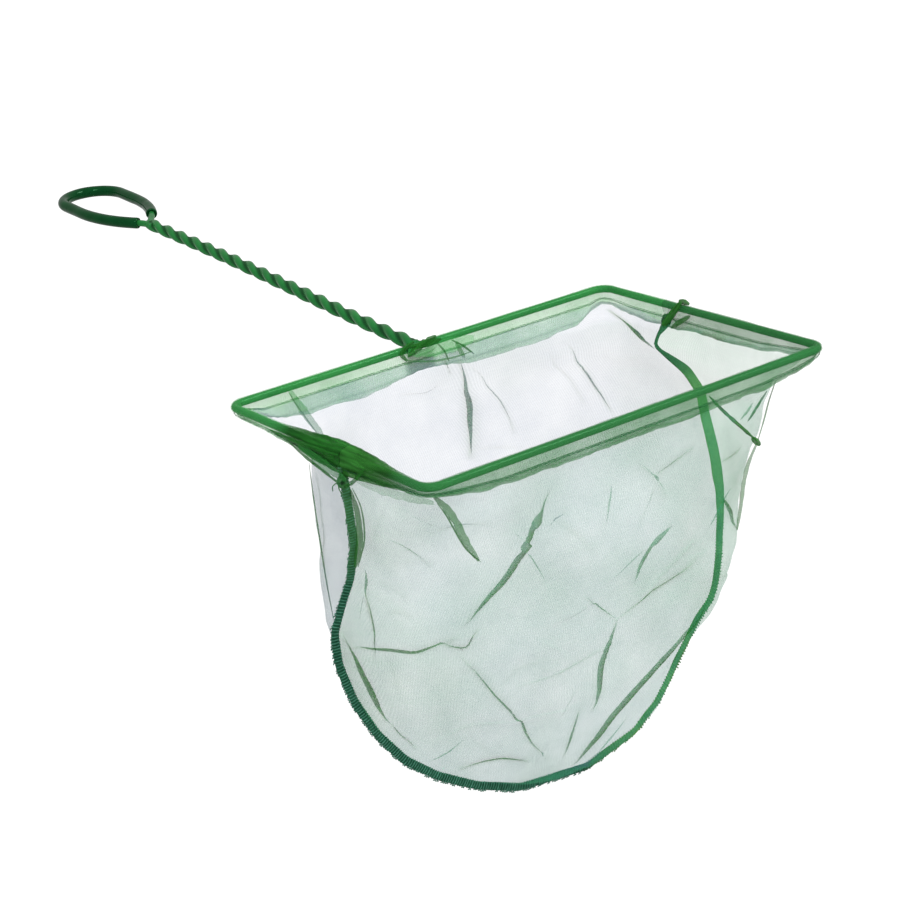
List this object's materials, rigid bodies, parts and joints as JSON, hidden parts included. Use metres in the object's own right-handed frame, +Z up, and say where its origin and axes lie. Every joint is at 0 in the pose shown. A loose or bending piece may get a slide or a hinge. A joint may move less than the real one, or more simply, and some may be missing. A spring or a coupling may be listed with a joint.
{
  "type": "aquarium fish net",
  "caption": "Hand net with a square coated-wire hoop, a deep round-bottomed mesh bag, a twisted wire handle and a sleeved grip loop.",
  "frame": {"origin": "centre of the round end of the grip loop", "axes": "+X along the rear rail of the hoop, +Y up the handle and away from the bag, +Z up out of the open mouth; the hoop is level and the handle rises to the loop at 3.5 degrees"},
  "size_m": [0.2768, 0.5939, 0.2723],
  "materials": {
    "steel": "drawn steel wire",
    "vinyl": "glossy green dipped vinyl",
    "sleeve": "very glossy dark green tube",
    "mesh": "fine sheer knitted mesh, pale green",
    "casing": "the same mesh in several layers",
    "thread": "spun polyester sewing thread"
  },
  "bodies": {
    "root": {"hoop_wire": "steel", "left_strand": "steel", "right_strand": "steel", "loop_wire": "steel", "hoop_coating": "vinyl", "fork_coating": "vinyl", "left_strand_coating": "vinyl", "right_strand_coating": "vinyl", "neck_coating": "vinyl", "loop_coating": "vinyl", "grip_sleeve": "sleeve", "front_panel": "mesh", "back_panel": "mesh", "front_casing": "casing", "rear_casing": "casing", "front_hem_thread": "thread", "rear_hem_thread": "thread", "seam_band": "thread", "seam_thread": "thread", "left_tack": "thread", "right_tack": "thread"}
  },
  "joints": []
}
